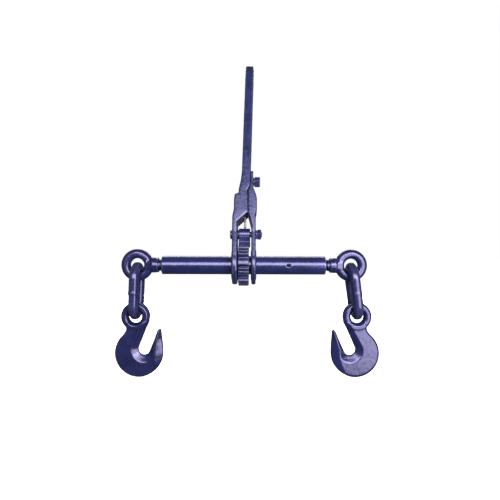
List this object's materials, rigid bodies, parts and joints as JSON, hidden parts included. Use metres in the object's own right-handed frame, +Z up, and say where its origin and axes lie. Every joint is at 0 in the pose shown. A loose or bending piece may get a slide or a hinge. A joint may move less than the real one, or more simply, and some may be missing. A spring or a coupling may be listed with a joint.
{
  "type": "ratchet load binder",
  "caption": "Lever chain tensioner: a threaded barrel turned by a ratcheting lever, with an eye screw, link and grab hook at each end.",
  "frame": {"origin": "on the barrel's axis, in the middle plane of the ratchet gear", "axes": "+X along the barrel, +Z up along the standing lever, +Y to the back, the way the lever leans"},
  "size_m": [0.4103, 0.1018, 0.509],
  "materials": {
    "barrel_enamel": "glossy navy enamel on drawn tube",
    "forged_enamel": "glossy navy enamel on rough forgings",
    "link_enamel": "glossy navy enamel on round bar",
    "fastener_enamel": "navy enamel over the bolt heads and nut",
    "plated_steel": "bright zinc plate",
    "dark_steel": "dark oiled steel"
  },
  "bodies": {
    "barrel": {"barrel_tube": "barrel_enamel", "ratchet_gear": "forged_enamel"},
    "lever": {"handle_forging": "forged_enamel", "cover_plate": "forged_enamel", "handle_bolt": "fastener_enamel", "handle_bolt_lock_washer": "fastener_enamel", "pawl_pin": "fastener_enamel", "pawl_pin_lock_washer": "fastener_enamel", "pawl_pin_nut": "fastener_enamel", "pawl_spacer": "dark_steel", "detent_spring": "dark_steel"},
    "pawl": {"pawl": "forged_enamel"},
    "plunger": {"detent_plunger": "plated_steel"},
    "left_screw": {"left_end_screw": "forged_enamel", "left_stop_pin": "dark_steel"},
    "right_screw": {"right_end_screw": "forged_enamel", "right_stop_pin": "dark_steel"},
    "left_chain_link": {"left_link": "link_enamel"},
    "right_chain_link": {"right_link": "link_enamel"},
    "left_grab_hook": {"left_hook": "forged_enamel"},
    "right_grab_hook": {"right_hook": "forged_enamel"}
  },
  "joints": [
    {"name": "handle_swing", "type": "hinge", "parent": "barrel", "child": "lever", "pos_m": [0, 0, 0], "axis": [1, 0, 0], "continuous": true},
    {"name": "pawl_tilt", "type": "hinge", "parent": "lever", "child": "pawl", "pos_m": [0, 0.00851, 0.04826], "axis": [-1, 0, 0], "range_deg": [0, 40]},
    {"name": "plunger_lift", "type": "slide", "parent": "lever", "child": "plunger", "axis": [0, 0.1736, 0.9848], "range_m": [0, 0.003], "stiffness_N_per_m": 1500, "deforming": ["detent_spring"]},
    {"name": "left_take_up", "type": "slide", "parent": "barrel", "child": "left_screw", "axis": [-1, 0, 0], "range_m": [-0.004, 0.091]},
    {"name": "right_take_up", "type": "slide", "parent": "barrel", "child": "right_screw", "axis": [1, 0, 0], "range_m": [-0.004, 0.091]},
    {"name": "left_link_swing", "type": "hinge", "parent": "left_screw", "child": "left_chain_link", "pos_m": [-0.166, 0, 0], "axis": [0, 1, 0], "range_deg": [-40, 98]},
    {"name": "right_link_swing", "type": "hinge", "parent": "right_screw", "child": "right_chain_link", "pos_m": [0.1675, 0, 0], "axis": [0, -1, 0], "range_deg": [-45, 93]},
    {"name": "left_hook_swing", "type": "hinge", "parent": "left_chain_link", "child": "left_grab_hook", "pos_m": [-0.1688, 0, -0.08005], "axis": [0, 1, 0], "range_deg": [-40, 60]},
    {"name": "right_hook_swing", "type": "hinge", "parent": "right_chain_link", "child": "right_grab_hook", "pos_m": [0.17726, 0, -0.0795], "axis": [0, -1, 0], "range_deg": [-40, 60]}
  ],
  "couplings": [
    {"joint": "right_take_up", "follows": "left_take_up", "ratio": 1}
  ]
}
